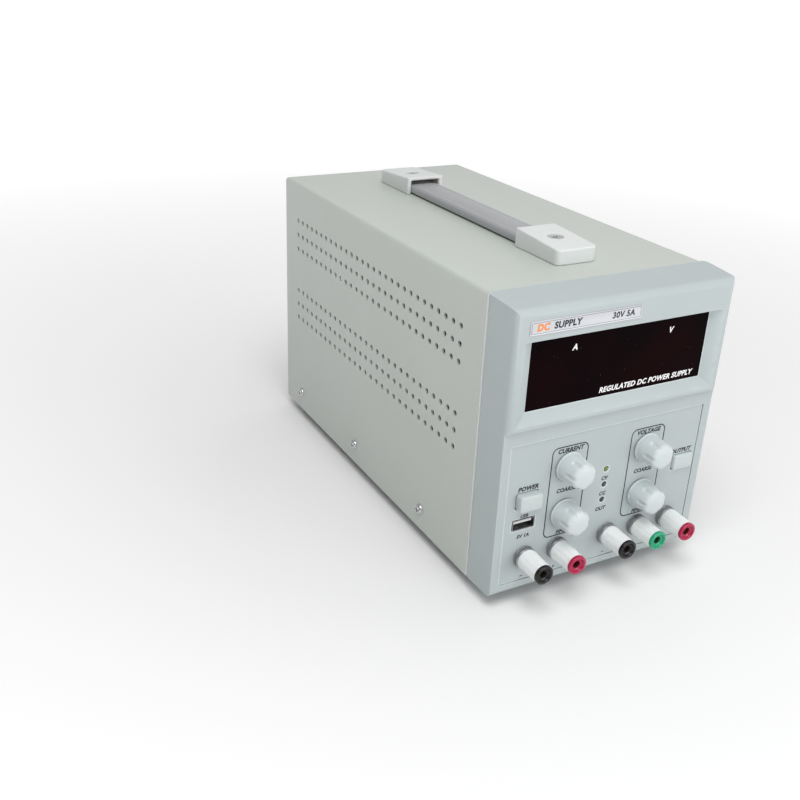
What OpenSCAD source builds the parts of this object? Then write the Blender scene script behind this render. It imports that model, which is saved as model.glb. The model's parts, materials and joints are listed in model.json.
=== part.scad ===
// Bench power supply: steel case, moulded front with hooded display, four rotary
// controls, two push buttons, five binding posts, strap handle, fan and mains inlet.
// Lengths are in millimetres.  Inside case_frame(): y = 0 is the seam between cover
// and bezel, -y is the front, and z = 0 is the underside of the steel case.

/* [Case] */
// Width of the steel cover
case_w = 130; // [128:1:134]
// Height of the steel cover without feet and handle
case_h = 154; // [154:1:158]
// Depth of the steel cover
case_d = 241; // [241:1:250]
// Sheet thickness of cover, tray and rear panel
sheet = 1.2; // [1:0.1:1.4]
// Height of the rubber feet
foot_h = 7; // [6:0.5:10]
// Diameter of one vent hole
vent_d = 3.2; // [2.4:0.1:4]
// Vent holes in one row
vent_count = 29; // [10:1:29]

/* [Front] */
// Depth of the bezel from the seam to its lower face
bezel_d = 22; // [22:0.5:24]
// How far the display hood stands in front of the lower face
hood_out = 2; // [1.5:0.5:3]
// Height at which the hood begins
hood_z = 92.5; // [91:0.5:93]
// Width of the display window opening
window_w = 107; // [100:1:108]
// Height of the display window opening
window_h = 35; // [33:1:36]

/* [Controls] */
// Length of a control knob
knob_len = 13.6; // [12:0.2:15]
// Radius of a knob at its skirt
knob_r = 8; // [7.6:0.1:9]
// Travel of the two latching push buttons
button_travel = 2.8; // [2:0.2:3]
// Radius of the metal collar under a binding post
collar_r = 6; // [5.8:0.1:7]
// Radius of the banana plug socket in a binding post
socket_r = 2; // [1.9:0.05:2.1]

/* [Handle] */
// Distance between the outer ends of the two handle caps
handle_span = 190.5; // [188:0.5:192]
// Width of a handle cap
cap_w = 24.6; // [24:0.2:28]
// Width of the carrying strap
strap_w = 18.8; // [16:0.2:19]
// Thickness of the carrying strap
strap_t = 4.5; // [4:0.1:4.5]

/* [Hidden] */
$fn = 48;

// Frame: the origin is the bottom centre of the whole object's bounding box.
front_reach = bezel_d + 18.4;      // face of the binding posts, in front of the seam
rear_reach = case_d + 3.5;         // screw heads of the fan guard, behind the seam
mid_y = (rear_reach - front_reach) / 2;
arc_steps = 6;                     // segments in a rounded outline corner

// Front layout, as [x, z] in the case frame
knob_at = [[-24, 66.5], [-24, 40], [25, 66.5], [25, 40]];
power_at = [-47.3, 53];
output_at = [51.5, 52.6];
usb_at = [-48, 39.4];
led_at = [[0.5, 59.1], [0.5, 50.2], [0.5, 41.2]];
post_at = [[-46, 20], [-26, 20], [6, 20], [26, 20], [46, 20]];
window_z = 118.4;                  // centre of the display window

// Depths on the front, in the case frame
face_y = -bezel_d;                 // lower face of the bezel
hood_y = face_y - hood_out;        // front of the display hood
panel_y = face_y + 0.6;            // front of the control panel
panel_back_y = face_y + 1.4;
inner_y = face_y + 3.4;            // inside of the bezel's front wall
window_y = face_y + 1.7;           // front of the display window
board_y = face_y + 12.4;           // front of the front board
board_t = 1.6;
knob_y = panel_y - 0.4;            // rear face of the knobs
post_y = panel_y - 3.2;            // front face of the post collars
cap_gap = 0.1;
post_cap_len = 13.6;
ring_len = front_reach + post_y - cap_gap - post_cap_len;

bezel_seam_w = case_w - 1.8;
bezel_wide = case_w + 1.2;
bezel_front_w = case_w;
bezel_base = 0.8;
button_w = 13;
button_h = 8.8;
shaft_r = 3;
running = 0.05;                    // radial clearance of a turning fit
screw_r = 1.5;                     // M3 shank
side_screw_y = [50, 133, 216];
side_screw_z = 12;
foot_x = case_w / 2 - 19;
foot_y = [20, case_d - 20];
rear_y = case_d - 1.7;             // inner face of the rear panel
rear_screw_at = [[-55, 5.6], [55, 5.6], [-57, case_h - 9], [57, case_h - 9]];
bezel_screw_x = 55;
bezel_screw_z = 8.5;

vent_pitch = 7.14;
vent_y = 21;
vent_rows = [65.5, 74.8, 84.1, 112, 121.3, 130.6];

cap_len = 37;
cap_front_y = 20.5;
cap_low_h = 8;
cap_high_h = 10.2;
cap_wall = 1.8;
cap_screw_at = 19.5;
strap_gap = 1;                     // strap underside above the case top
strap_front_y = cap_front_y + 26.5;
strap_rear_y = cap_front_y + handle_span - 26.5;
strap_mid_y = (strap_front_y + strap_rear_y) / 2;
strap_split = 0.06;                // gap where the two strap halves meet
strap_end_len = 2;
strap_end_w = 20.2;

fan_at = [0, 100];
fan_size = 80;
fan_d = 25;
fan_hole = 71.5 / 2;
inlet_at = [-36, 29];
fuse_z = 14;                       // fuse drawer above the inlet's centre
pin_at = [[-7, -4], [7, -4], [0, 0]];

core = [96, 44, 80];               // transformer core
core_y = 48;
bolt_at = [for (s = [-1, 1], y = [62, 78]) [s * 54.5, y]];
board_z = 9;                       // underside of the main board
spacer_at = [for (x = [-53, 22], y = [120, 202]) [x, y]];

steel_grey = [0.72, 0.74, 0.71];
bezel_grey = [0.70, 0.73, 0.75];
off_white = [0.90, 0.90, 0.89];
board_green = [0.10, 0.35, 0.18];
metal_grey = [0.62, 0.63, 0.64];
ring_colours = ["black", "crimson", "black", "seagreen", "crimson"];

// ---------- helpers ----------
module case_frame() translate([0, -mid_y, foot_h]) children();

// Extrudes an x-z outline from y0 to y1
module along_y(y0, y1) translate([0, y1, 0]) rotate([90, 0, 0])
    linear_extrude(y1 - y0) children();

// Extrudes a y-z outline from x0 to x1
module along_x(x0, x1) translate([x0, 0, 0]) rotate([90, 0, 90])
    linear_extrude(x1 - x0) children();

// Round bar along y
module rod_y(at, y0, y1, r) translate([at[0], y1, at[1]]) rotate([90, 0, 0])
    cylinder(h = y1 - y0, r = r);

// Round bar along x
module rod_x(y, z, x0, x1, r) translate([x0, y, z]) rotate([0, 90, 0])
    cylinder(h = x1 - x0, r = r);

// Box given by two opposite corners
module span(a, b) translate(a) cube(b - a);

// Places a turned part whose own +z points to the front
module facing_front(at, y) translate([at[0], y, at[1]]) rotate([90, 0, 0]) children();

function corner(x, y, r, a) = [for (i = [0:arc_steps])
    [x + r * cos(a + 90 * i / arc_steps), y + r * sin(a + 90 * i / arc_steps)]];

function round_rect(w, h, r) = concat(
    corner(w / 2 - r, h / 2 - r, r, 0), corner(r - w / 2, h / 2 - r, r, 90),
    corner(r - w / 2, r - h / 2, r, 180), corner(w / 2 - r, r - h / 2, r, 270));

module round_plate(at, w, h, r, y0, y1)
    translate([at[0], 0, at[1]]) along_y(y0, y1) polygon(round_rect(w, h, r));

// M3 pan head screw, head on +z, shank down from z = 0
module pan_screw(len) {
    cylinder(h = 2, r1 = 3, r2 = 2.4);
    translate([0, 0, -len]) cylinder(h = len + 0.01, r = screw_r);
}

// ---------- case ----------
module top_cover() color(steel_grey) case_frame() {
    bend = 2;
    difference() {
        along_y(0, case_d) polygon(concat([[case_w / 2, 0]],
            corner(case_w / 2 - bend, case_h - bend, bend, 0),
            corner(bend - case_w / 2, case_h - bend, bend, 90), [[-case_w / 2, 0]]));
        along_y(-1, case_d + 1) polygon(concat([[case_w / 2 - sheet, -1]],
            corner(case_w / 2 - bend, case_h - bend, bend - sheet, 0),
            corner(bend - case_w / 2, case_h - bend, bend - sheet, 90),
            [[sheet - case_w / 2, -1]]));
        for (z = vent_rows, i = [0:vent_count - 1])
            rod_x(vent_y + i * vent_pitch, z, -case_w, case_w, vent_d / 2);
        for (y = side_screw_y)
            rod_x(y, side_screw_z, -case_w, case_w, screw_r);
        for (y = [cap_screw_at, handle_span - cap_screw_at])
            translate([0, cap_front_y + y, case_h - 5]) cylinder(h = 10, r = 2);
    }
    // rear tabs that take the upper screws of the rear panel
    for (s = [-1, 1]) difference() {
        span([s * 51 - (s < 0 ? 12.9 : 0), rear_y - sheet, case_h - 16],
            [s * 51 + (s > 0 ? 12.9 : 0), rear_y, case_h - 0.6]);
        rod_y([s * 57, case_h - 9], rear_y - 5, rear_y + 5, screw_r);
    }
}

module base_chassis() color(metal_grey) case_frame() difference() {
    tray_x = case_w / 2 - sheet - 0.2;
    tray_y = 5.5;
    union() {
        span([-tray_x, tray_y, 0], [tray_x, rear_y, sheet]);
        for (x = [-tray_x, tray_x - sheet])
            span([x, tray_y, 0], [x + sheet, rear_y, 24]);
        span([-tray_x, tray_y, 0], [tray_x, tray_y + sheet, 15]);
        span([-tray_x, rear_y - sheet, 0], [tray_x, rear_y, 10]);
    }
    for (y = side_screw_y) rod_x(y, side_screw_z, -case_w, case_w, screw_r);
    for (x = [-foot_x, foot_x], y = foot_y)
        translate([x, y, -1]) cylinder(h = 4, r = screw_r);
    for (i = [0, 1]) rod_y(rear_screw_at[i], rear_y - 5, rear_y + 5, screw_r);
    for (x = [-bezel_screw_x, bezel_screw_x])
        rod_y([x, bezel_screw_z], 0, 10, screw_r);
    for (p = bolt_at) translate([p[0], p[1], -1]) cylinder(h = 4, r = 2);
}

module rear_panel() color(steel_grey) case_frame() difference() {
    w = case_w - 2 * sheet - 0.4;
    span([-w / 2, rear_y, 0], [w / 2, rear_y + sheet, case_h - sheet - 0.3]);
    rod_y(fan_at, rear_y - 1, rear_y + 3, 37.5);
    for (sx = [-1, 1], sz = [-1, 1])
        rod_y(fan_at + fan_hole * [sx, sz], rear_y - 1, rear_y + 3, 2);
    for (p = rear_screw_at) rod_y(p, rear_y - 1, rear_y + 3, screw_r);
    span([inlet_at[0] - 14, rear_y - 1, inlet_at[1] - 13],
        [inlet_at[0] + 14, rear_y + 3, inlet_at[1] + 20]);
}

// Side outline of the bezel as [y, z], with the hood step and rounded front edges
function bezel_side() = concat(
    [[0, bezel_base]],
    [for (i = [0:arc_steps]) let (a = 90 * i / arc_steps)
        [face_y + 2.5 - 2.5 * sin(a), bezel_base + 2.5 - 2.5 * cos(a)]],
    [[face_y, hood_z - 1], [face_y - 0.4, hood_z]],
    [for (i = [0:arc_steps]) let (a = 90 * i / arc_steps)
        [hood_y + 1 - 1 * sin(a), hood_z + 1 - 1 * cos(a)]],
    [for (i = [0:arc_steps]) let (a = 90 * i / arc_steps)
        [hood_y + 4 - 4 * cos(a), case_h - 5 + 4 * sin(a)]],
    [[0, case_h + 0.6]]);

// Plan outline of the bezel as [x, y]: narrow at the seam, so that the cover's edge shows,
// widest 3 mm in front of it, then tapering to the rounded front corners
function bezel_plan() = let (r = 3.5, c = bezel_front_w / 2 - r) concat(
    [[bezel_wide / 2, -3], [bezel_wide / 2 - 0.4, -1.5], [bezel_seam_w / 2, 0],
        [-bezel_seam_w / 2, 0], [0.4 - bezel_wide / 2, -1.5], [-bezel_wide / 2, -3]],
    [for (i = [0:arc_steps]) let (a = 180 + 90 * i / arc_steps)
        [-c + r * cos(a), hood_y + r + r * sin(a)]],
    [for (i = [0:arc_steps]) let (a = 270 + 90 * i / arc_steps)
        [c + r * cos(a), hood_y + r + r * sin(a)]]);

// Flared recess in front of the display window
module window_recess() {
    flare = 7;
    low = window_z - window_h / 2;
    high = window_z + window_h / 2;
    intersection() {
        translate([0, 0, low - flare - 1]) linear_extrude(window_h + flare + 6) polygon([
            [-window_w / 2, window_y + 2], [window_w / 2, window_y + 2],
            [window_w / 2, window_y], [window_w / 2 + flare, hood_y],
            [window_w / 2 + flare, hood_y - 2], [-window_w / 2 - flare, hood_y - 2],
            [-window_w / 2 - flare, hood_y], [-window_w / 2, window_y]]);
        along_x(-case_w / 2, case_w / 2) polygon([
            [window_y + 2, low], [window_y, low], [hood_y, low - 6], [hood_y - 2, low - 6],
            [hood_y - 2, high + 1.5], [hood_y, high + 1.5], [window_y, high],
            [window_y + 2, high]]);
    }
}

// Openings that the control panel and the bezel's front wall share
module panel_openings(y0, y1) {
    for (p = knob_at) rod_y(p, y0, y1, 3.7);
    for (p = [power_at, output_at])
        round_plate(p, button_w + 0.5, button_h + 0.5, 1.3, y0, y1);
    for (p = led_at) rod_y(p, y0, y1, 1.6);
    round_plate(usb_at, 13.6, 6.2, 0.4, y0, y1);
    for (p = post_at) rod_y(p, y0, y1, 3);
}

module front_bezel() color(bezel_grey) case_frame() difference() {
    union() {
        difference() {
            intersection() {
                along_x(-case_w, case_w) polygon(bezel_side());
                linear_extrude(2 * case_h) polygon(bezel_plan());
            }
            span([-62.4, inner_y, 3.2], [62.4, 1, case_h - 2.4]);
        }
        // lip that slides inside the cover
        difference() {
            span([-63.4, -1.5, 1.5], [63.4, 4.5, case_h - sheet - 0.3]);
            span([-61.6, -2.5, 3.3], [61.6, 5, case_h - 3.2]);
        }
        for (x = [-bezel_screw_x, bezel_screw_x])
            rod_y([x, bezel_screw_z], inner_y - 0.5, 5.5, 3.5);
    }
    window_recess();
    span([-56.2, window_y, 97.6], [56.2, 0, 139.2]);
    round_plate([0, 45.3], 120, 78.8, 1.5, face_y - 1, panel_back_y);
    panel_openings(face_y - 1, inner_y + 1);
    for (x = [-bezel_screw_x, bezel_screw_x])
        rod_y([x, bezel_screw_z], -12, 6, screw_r);
}

module control_panel() color(bezel_grey) case_frame() difference() {
    round_plate([0, 45.3], 119.8, 78.6, 1.4, panel_y, panel_back_y);
    panel_openings(panel_y - 1, panel_back_y + 1);
}

module display_window() color([0.15, 0.01, 0.01]) case_frame()
    round_plate([0, window_z], 112, 41.2, 0.5, window_y, window_y + 2);

module name_plate() color("silver") case_frame()
    round_plate([-26.2, 143.9], 63.3, 6.8, 0.8, hood_y - 0.4, hood_y);

module case_screws() color("silver") case_frame() {
    for (s = [-1, 1], y = side_screw_y)
        translate([s * case_w / 2, y, side_screw_z]) rotate([0, s * 90, 0]) pan_screw(5);
    for (p = rear_screw_at)
        translate([p[0], rear_y + sheet, p[1]]) rotate([-90, 0, 0]) pan_screw(4);
    for (x = [-bezel_screw_x, bezel_screw_x])
        translate([x, 5.5 + sheet, bezel_screw_z]) rotate([-90, 0, 0]) pan_screw(12);
    for (x = [-foot_x, foot_x], y = foot_y)
        translate([x, y, 3.5 - foot_h]) rotate([180, 0, 0]) pan_screw(foot_h);
    for (sx = [-1, 1], sz = [-1, 1])
        translate([fan_at[0] + sx * fan_hole, case_d + 1.5, fan_at[1] + sz * fan_hole])
            rotate([-90, 0, 0]) pan_screw(8);
}

module feet() color([0.12, 0.12, 0.12]) case_frame()
    for (x = [-foot_x, foot_x], y = foot_y) translate([x, y, -foot_h]) difference() {
        cylinder(h = foot_h, r1 = 7, r2 = 8);
        translate([0, 0, -1]) cylinder(h = 4.5, r = 3.6);
        translate([0, 0, -1]) cylinder(h = foot_h + 2, r = screw_r);
    }

// ---------- handle ----------
// Cap with its closed end at y = 0 and its mouth at y = cap_len, standing on z = 0
module handle_cap() {
    inner_w = cap_w - 2 * cap_wall;
    module side(inset, base) polygon([[inset * 1.2, base],
        [inset * 1.2, cap_low_h - inset], [cap_len + inset, cap_high_h - inset],
        [cap_len + inset, base]]);
    difference() {
        intersection() {
            along_x(-cap_w / 2, cap_w / 2) side(0, 0);
            linear_extrude(20) polygon(concat([[cap_w / 2, cap_len], [-cap_w / 2, cap_len]],
                [for (i = [0:arc_steps]) let (a = 180 + 90 * i / arc_steps)
                    [3 - cap_w / 2 + 3 * cos(a), 3 + 3 * sin(a)]],
                [for (i = [0:arc_steps]) let (a = 270 + 90 * i / arc_steps)
                    [cap_w / 2 - 3 + 3 * cos(a), 3 + 3 * sin(a)]]));
        }
        difference() {
            along_x(-inner_w / 2, inner_w / 2) side(cap_wall, -2);
            translate([0, cap_screw_at, -2]) cylinder(h = 20, r = 5);
            // lips that keep the strap's wide end inside
            for (s = [-1, 1]) span([s > 0 ? 9.7 : -15, cap_len - 2.8, -2],
                [s > 0 ? 15 : -9.7, cap_len + 5, 20]);
        }
        translate([0, cap_screw_at, -1]) cylinder(h = 20, r = 2);
        translate([0, cap_screw_at, cap_low_h - 1]) cylinder(h = 5, r = 4.2);
    }
}

module handle_caps() color(off_white) case_frame() {
    translate([0, cap_front_y, case_h]) handle_cap();
    translate([0, cap_front_y + handle_span, case_h]) mirror([0, 1, 0]) handle_cap();
}

module handle_screws() color("silver") case_frame()
    for (y = [cap_screw_at, handle_span - cap_screw_at])
        translate([0, cap_front_y + y, case_h + cap_low_h - 1]) difference() {
            union() {
                cylinder(h = 1.6, r1 = 3.8, r2 = 3.2);
                translate([0, 0, -15]) cylinder(h = 15.01, r = 2);
            }
            for (a = [0, 90]) rotate([0, 0, a])
                translate([-2, -0.4, 0.7]) cube([4, 0.8, 2]);
        }

// Strap between two y positions, with its wide end at the end named by end_y
module strap(y0, y1, end_y) case_frame() translate([0, 0, case_h + strap_gap]) {
    c = 1.2;
    along_y(y0, y1) polygon([[-strap_w / 2, 0], [strap_w / 2, 0],
        [strap_w / 2, strap_t - c], [strap_w / 2 - c, strap_t],
        [c - strap_w / 2, strap_t], [-strap_w / 2, strap_t - c]]);
    span([-strap_end_w / 2, end_y, 0], [strap_end_w / 2, end_y + strap_end_len, strap_t]);
}

module strap_rear() color([0.55, 0.55, 0.57])
    strap(strap_mid_y + strap_split / 2, strap_rear_y, strap_rear_y - strap_end_len);

module strap_front() color([0.55, 0.55, 0.57])
    strap(strap_front_y, strap_mid_y - strap_split / 2, strap_front_y);

// ---------- transformer and power stage ----------
module transformer_core() color([0.25, 0.25, 0.27]) case_frame() difference() {
    span([-core[0] / 2, core_y, sheet], [core[0] / 2, core_y + core[1], sheet + core[2]]);
    for (x = [-32, 16])
        span([x, core_y - 1, 17.2], [x + 16, core_y + core[1] + 1, 65.2]);
}

module transformer_coil() color([0.75, 0.55, 0.15]) case_frame() difference() {
    translate([0, core_y + core[1] / 2, 18])
        linear_extrude(46.4) polygon(round_rect(63, 68, 6));
    span([-16.2, core_y - 0.3, 10], [16.2, core_y + core[1] + 0.3, 80]);
}

module transformer_strap() color(metal_grey) case_frame() difference() {
    t = 1.5;
    w = core[0] / 2 + 0.1;
    h = sheet + core[2] + 0.1;
    along_y(55, 85) polygon([[-w - 12, sheet], [-w, sheet], [-w, h], [w, h],
        [w, sheet], [w + 12, sheet], [w + 12, sheet + t], [w + t, sheet + t],
        [w + t, h + t], [-w - t, h + t], [-w - t, sheet + t], [-w - 12, sheet + t]]);
    for (p = bolt_at) translate([p[0], p[1], 0]) cylinder(h = 5, r = 2);
}

module transformer_bolts() color("silver") case_frame()
    for (p = bolt_at) translate([p[0], p[1], sheet + 1.5]) {
        cylinder(h = 2.6, r = 3.5, $fn = 6);
        translate([0, 0, -4]) cylinder(h = 4.01, r = 2);
    }

module main_board() color(board_green) case_frame()
    span([-58, 116, board_z], [27, 206, board_z + board_t]);

module board_spacers() color("gold") case_frame()
    for (p = spacer_at) translate([p[0], p[1], sheet]) cylinder(h = board_z - sheet, r = 3);

module filter_capacitors() color([0.15, 0.18, 0.3]) case_frame()
    for (y = [140, 182]) translate([-34, y, board_z + board_t]) difference() {
        cylinder(h = 50, r = 17.5);
        translate([0, 0, 49]) cylinder(h = 2, r = 15);
    }

module bridge_rectifier() color([0.1, 0.1, 0.1]) case_frame() difference() {
    span([-12, 165, board_z + board_t], [16, 193, board_z + board_t + 9]);
    translate([2, 179, 0]) cylinder(h = 40, r = 2.5);
}

module heat_sink() color([0.65, 0.66, 0.68]) case_frame() {
    span([36, 112, sheet], [41, 208, 82]);
    for (i = [0:8]) span([40.9, 112, sheet + 4 + i * 8.9], [61, 208, sheet + 6 + i * 8.9]);
}

module power_transistors() color([0.1, 0.1, 0.1]) case_frame()
    for (y = [125, 158, 191]) {
        span([31, y, 34], [36, y + 16, 55]);
        for (i = [0:2]) span([33, y + 2 + i * 5.4, board_z + 3],
            [33.7, y + 3.2 + i * 5.4, 34.01]);
    }

// Cable that follows a list of points
module cable(points, r) {
    for (i = [0:len(points) - 2]) let (d = points[i + 1] - points[i])
        translate(points[i])
            rotate([0, acos(d[2] / norm(d)), atan2(d[1], d[0])]) cylinder(h = norm(d), r = r);
    for (i = [1:len(points) - 2]) translate(points[i]) sphere(r = r * 1.06);
}

module wiring() case_frame() {
    color("firebrick") cable([[46, 3, 20], [57, 20, 32], [57, 96, 32], [26, 114, 24],
        [24, 120, 12.7]], 1.3);
    color("black") cable([[6, 3, 20], [6, 30, 10], [52, 40, 10.6], [52, 50, 12],
        [52, 94, 12], [20, 110, 16], [18, 120, 12.7]], 1.3);
    color("saddlebrown") cable([[-43, 208.6, 25], [-60, 204, 46], [-60, 30, 46],
        [-47.3, 8, 53], [-47.3, board_y + 3, 53]], 1.2);
    color("lightgrey") along_x(-58, -51) polygon([[board_y + 2, 70], [24, 70], [112, 34],
        [119, 12], [119, 10.8], [120, 10.8], [120, 12], [112.6, 35], [24, 71.2],
        [board_y + 2, 71.2]]);
}

// ---------- front electronics ----------
module front_board() color(board_green) case_frame()
    span([-58, board_y, 32], [58, board_y + board_t, 138]);

module digit_modules() color([0.2, 0.2, 0.2]) case_frame()
    for (x = [-46, 8.4]) span([x, window_y + 2.5, 109], [x + 37.6, board_y, 128]);

module potentiometers() color([0.5, 0.5, 0.45]) case_frame()
    for (p = knob_at) difference() {
        union() {
            rod_y(p, inner_y, inner_y + 8, 8);
            rod_y(p, panel_y - 3.2, inner_y + 1, 3.5);
            span([p[0] - 6, inner_y + 7, p[1] - 11], [p[0] + 6, board_y, p[1] + 5]);
        }
        rod_y(p, panel_y - 4, inner_y + 6.6, shaft_r + running);
    }

module potentiometer_nuts() color("silver") case_frame()
    for (p = knob_at) difference() {
        facing_front(p, panel_y) cylinder(h = 2, r = 5.2, $fn = 6);
        rod_y(p, panel_y - 3, panel_y + 1, 3.5);
    }

module push_switches() color([0.15, 0.15, 0.15]) case_frame()
    for (p = [power_at, output_at]) difference() {
        span([p[0] - 5.5, inner_y + 3.2, p[1] - 4], [p[0] + 5.5, board_y, p[1] + 4]);
        span([p[0] - 2.15, inner_y, p[1] - 2.15], [p[0] + 2.15, board_y - 0.8, p[1] + 2.15]);
    }

module indicator_leds() color([0.35, 0.4, 0.12]) case_frame()
    for (p = led_at) facing_front(p, board_y) {
        for (x = [-1.27, 1.27]) translate([x, 0, 0]) cylinder(h = 6.4, r = 0.25, $fn = 16);
        translate([0, 0, 6.2]) rotate_extrude() polygon(concat([[0, 0], [1.9, 0], [1.9, 1],
            [1.5, 1]], [for (i = [0:arc_steps]) let (a = 90 * i / arc_steps)
                [1.5 * cos(a), 4.6 + 1.4 * sin(a)]]));
    }

module usb_socket() case_frame() {
    color("silver") difference() {
        round_plate(usb_at, 13.2, 5.8, 0.5, panel_y - 0.3, board_y);
        round_plate(usb_at, 12.4, 5, 0.3, panel_y - 1, board_y - 1);
    }
    color("white") translate([usb_at[0], 0, usb_at[1]])
        span([-5.5, panel_y + 0.8, 0.1], [5.5, board_y - 1, 2]);
}

// ---------- binding posts ----------
module post_collars() color("silver") case_frame()
    for (p = post_at) facing_front(p, panel_y) rotate_extrude() polygon([[3, 0],
        [collar_r, 0], [collar_r, 2.8], [collar_r - 0.4, 3.2], [3, 3.2]]);

module post_studs() color("gold") case_frame()
    for (p = post_at) difference() {
        rod_y(p, 1.8 - front_reach, 2, 3);
        rod_y(p, -front_reach, 12.8 - front_reach, socket_r);
        translate([p[0], post_y - 1.5, p[1] - 5]) cylinder(h = 10, r = 1.1);
    }

module post_nuts() color("silver") case_frame()
    for (p = post_at, d = [0, 3.2]) difference() {
        facing_front(p, inner_y + d + 2.6) cylinder(h = 2.6, r = 5, $fn = 6);
        rod_y(p, inner_y - 1, inner_y + d + 3, 3);
    }

module post_cap(i) color(off_white) case_frame()
    facing_front(post_at[i], post_y - cap_gap) rotate_extrude() polygon([
        [3 + running, 0], [5.3, 0], [5.7, 0.4], [5.15, post_cap_len],
        [4.25, post_cap_len], [4.25, post_cap_len - 3], [3 + running, post_cap_len - 3]]);

module post_ring(i) color(ring_colours[i]) case_frame()
    facing_front(post_at[i], post_y - cap_gap - post_cap_len) rotate_extrude() polygon([
        [3.2, -2.8], [4.2, -2.8], [4.2, 0], [5.15, 0], [5.1, ring_len - 0.6],
        [4.5, ring_len], [3.4, ring_len], [3.2, ring_len - 1]]);

module aux_negative_cap() post_cap(0);
module aux_positive_cap() post_cap(1);
module main_negative_cap() post_cap(2);
module ground_cap() post_cap(3);
module main_positive_cap() post_cap(4);
module aux_negative_ring() post_ring(0);
module aux_positive_ring() post_ring(1);
module main_negative_ring() post_ring(2);
module ground_ring() post_ring(3);
module main_positive_ring() post_ring(4);

// ---------- knobs and buttons ----------
// Cross-section of the shaft's flatted end, or of the hole that takes it
module d_section(r, flat) difference() {
    circle(r = r);
    translate([flat, -r - 1]) square([r, 2 * r + 2]);
}

module knob(i) color(off_white) case_frame() facing_front(knob_at[i], knob_y) difference() {
    rotate_extrude() polygon([[0, 0], [knob_r, 0], [knob_r, 0.9], [knob_r - 0.5, 1.3],
        [knob_r - 1.1, knob_len - 2.2], [knob_r - 1.7, knob_len - 1],
        [knob_r - 3, knob_len - 0.4], [0, knob_len]]);
    translate([0, 0, -1]) cylinder(h = 5, r = 6.2);
    translate([0, 0, 3]) linear_extrude(knob_len - 5) d_section(shaft_r + running, 1.6);
    for (a = [0:60:300]) rotate([0, 0, a])
        translate([knob_r + 1.1, 0, knob_len * 0.48]) cylinder(h = knob_len, r = 2.4);
}

module shaft(i) color("silver") case_frame() facing_front(knob_at[i], inner_y + 6) {
    cylinder(h = 12.8, r = shaft_r);
    translate([0, 0, 12.7]) linear_extrude(7.3) d_section(shaft_r, 1.55);
}

module current_coarse_knob() knob(0);
module current_fine_knob() knob(1);
module voltage_coarse_knob() knob(2);
module voltage_fine_knob() knob(3);
module current_coarse_shaft() shaft(0);
module current_fine_shaft() shaft(1);
module voltage_coarse_shaft() shaft(2);
module voltage_fine_shaft() shaft(3);

// Push button with its face at y = front; its stem runs into the switch behind it
module button(at, front) color(off_white) case_frame() {
    round_plate(at, button_w, button_h, 1.1, front, front + 7);
    span([at[0] - 2, front + 6.9, at[1] - 2], [at[0] + 2, front + 11.4, at[1] + 2]);
}

module power_button() button(power_at, panel_y - 4.6);
module output_button() button(output_at, panel_y - 4.6 + button_travel);

// ---------- mains inlet ----------
module mains_inlet() color([0.1, 0.1, 0.1]) case_frame()
    translate([inlet_at[0], 0, inlet_at[1]]) difference() {
        union() {
            translate([0, 0, 3.5]) along_y(rear_y + sheet, rear_y + sheet + 2.2)
                polygon(round_rect(31, 38, 2));
            span([-13.8, 216, -12.8], [13.8, rear_y + sheet + 0.1, 19.8]);
        }
        along_y(226, case_d + 5) polygon([[-12.4, -10], [12.4, -10], [12.4, 3],
            [8.6, 7], [-8.6, 7], [-12.4, 3]]);
        span([-11, 217.5, fuse_z - 3.4], [11, case_d + 5, fuse_z + 3.4]);
        for (p = pin_at) span([p[0] - 1, 210, p[1] - 2], [p[0] + 1, 230, p[1] + 2]);
    }

module inlet_pins() color("gold") case_frame() translate([inlet_at[0], 0, inlet_at[1]])
    for (p = pin_at) span([p[0] - 1, 210, p[1] - 2], [p[0] + 1, rear_y - 1, p[1] + 2]);

module fuse_drawer() color([0.14, 0.14, 0.14]) case_frame()
    translate([inlet_at[0], 0, inlet_at[1] + fuse_z]) difference() {
        union() {
            span([-10.9, 218, -3.3], [10.9, rear_y + sheet + 2.3, 3.3]);
            span([-4, rear_y + sheet + 2.2, -3.3], [4, rear_reach - 0.2, -2]);
        }
        span([-10, 219.2, -2.6], [10, rear_y - 6, 4]);
    }

// ---------- fan ----------
module fan_frame() color([0.08, 0.08, 0.08]) case_frame() {
    difference() {
        round_plate(fan_at, fan_size, fan_size, 4, rear_y - fan_d, rear_y);
        rod_y(fan_at, rear_y - fan_d - 1, rear_y + 1, 38.5);
        for (sx = [-1, 1], sz = [-1, 1])
            rod_y(fan_at + fan_hole * [sx, sz], rear_y - fan_d - 1, rear_y + 1, screw_r);
    }
    difference() {
        union() {
            rod_y(fan_at, rear_y - 3, rear_y, 17);
            rod_y(fan_at, rear_y - 15, rear_y - 2.9, 3.4);
            for (a = [45:90:315]) translate([fan_at[0], 0, fan_at[1]]) rotate([0, a, 0])
                span([16, rear_y - 3, -2], [39, rear_y, 2]);
        }
        rod_y(fan_at, rear_y - 16, rear_y - 1.5, 1.5 + running);
    }
}

module fan_rotor() color([0.1, 0.1, 0.1]) case_frame()
    translate([fan_at[0], rear_y, fan_at[1]]) {
        difference() {
            rod_y([0, 0], -fan_d + 1.5, -4, 16);
            rod_y([0, 0], -fan_d + 3.5, -3, 14);
        }
        rod_y([0, 0], -fan_d + 2, -2, 1.5);
        for (i = [0:6]) rotate([0, i * 360 / 7, 0])
            translate([25.7, -fan_d / 2 - 1.2, 0]) rotate([38, 0, 0])
                cube([21, 1.4, 19], center = true);
    }

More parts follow.
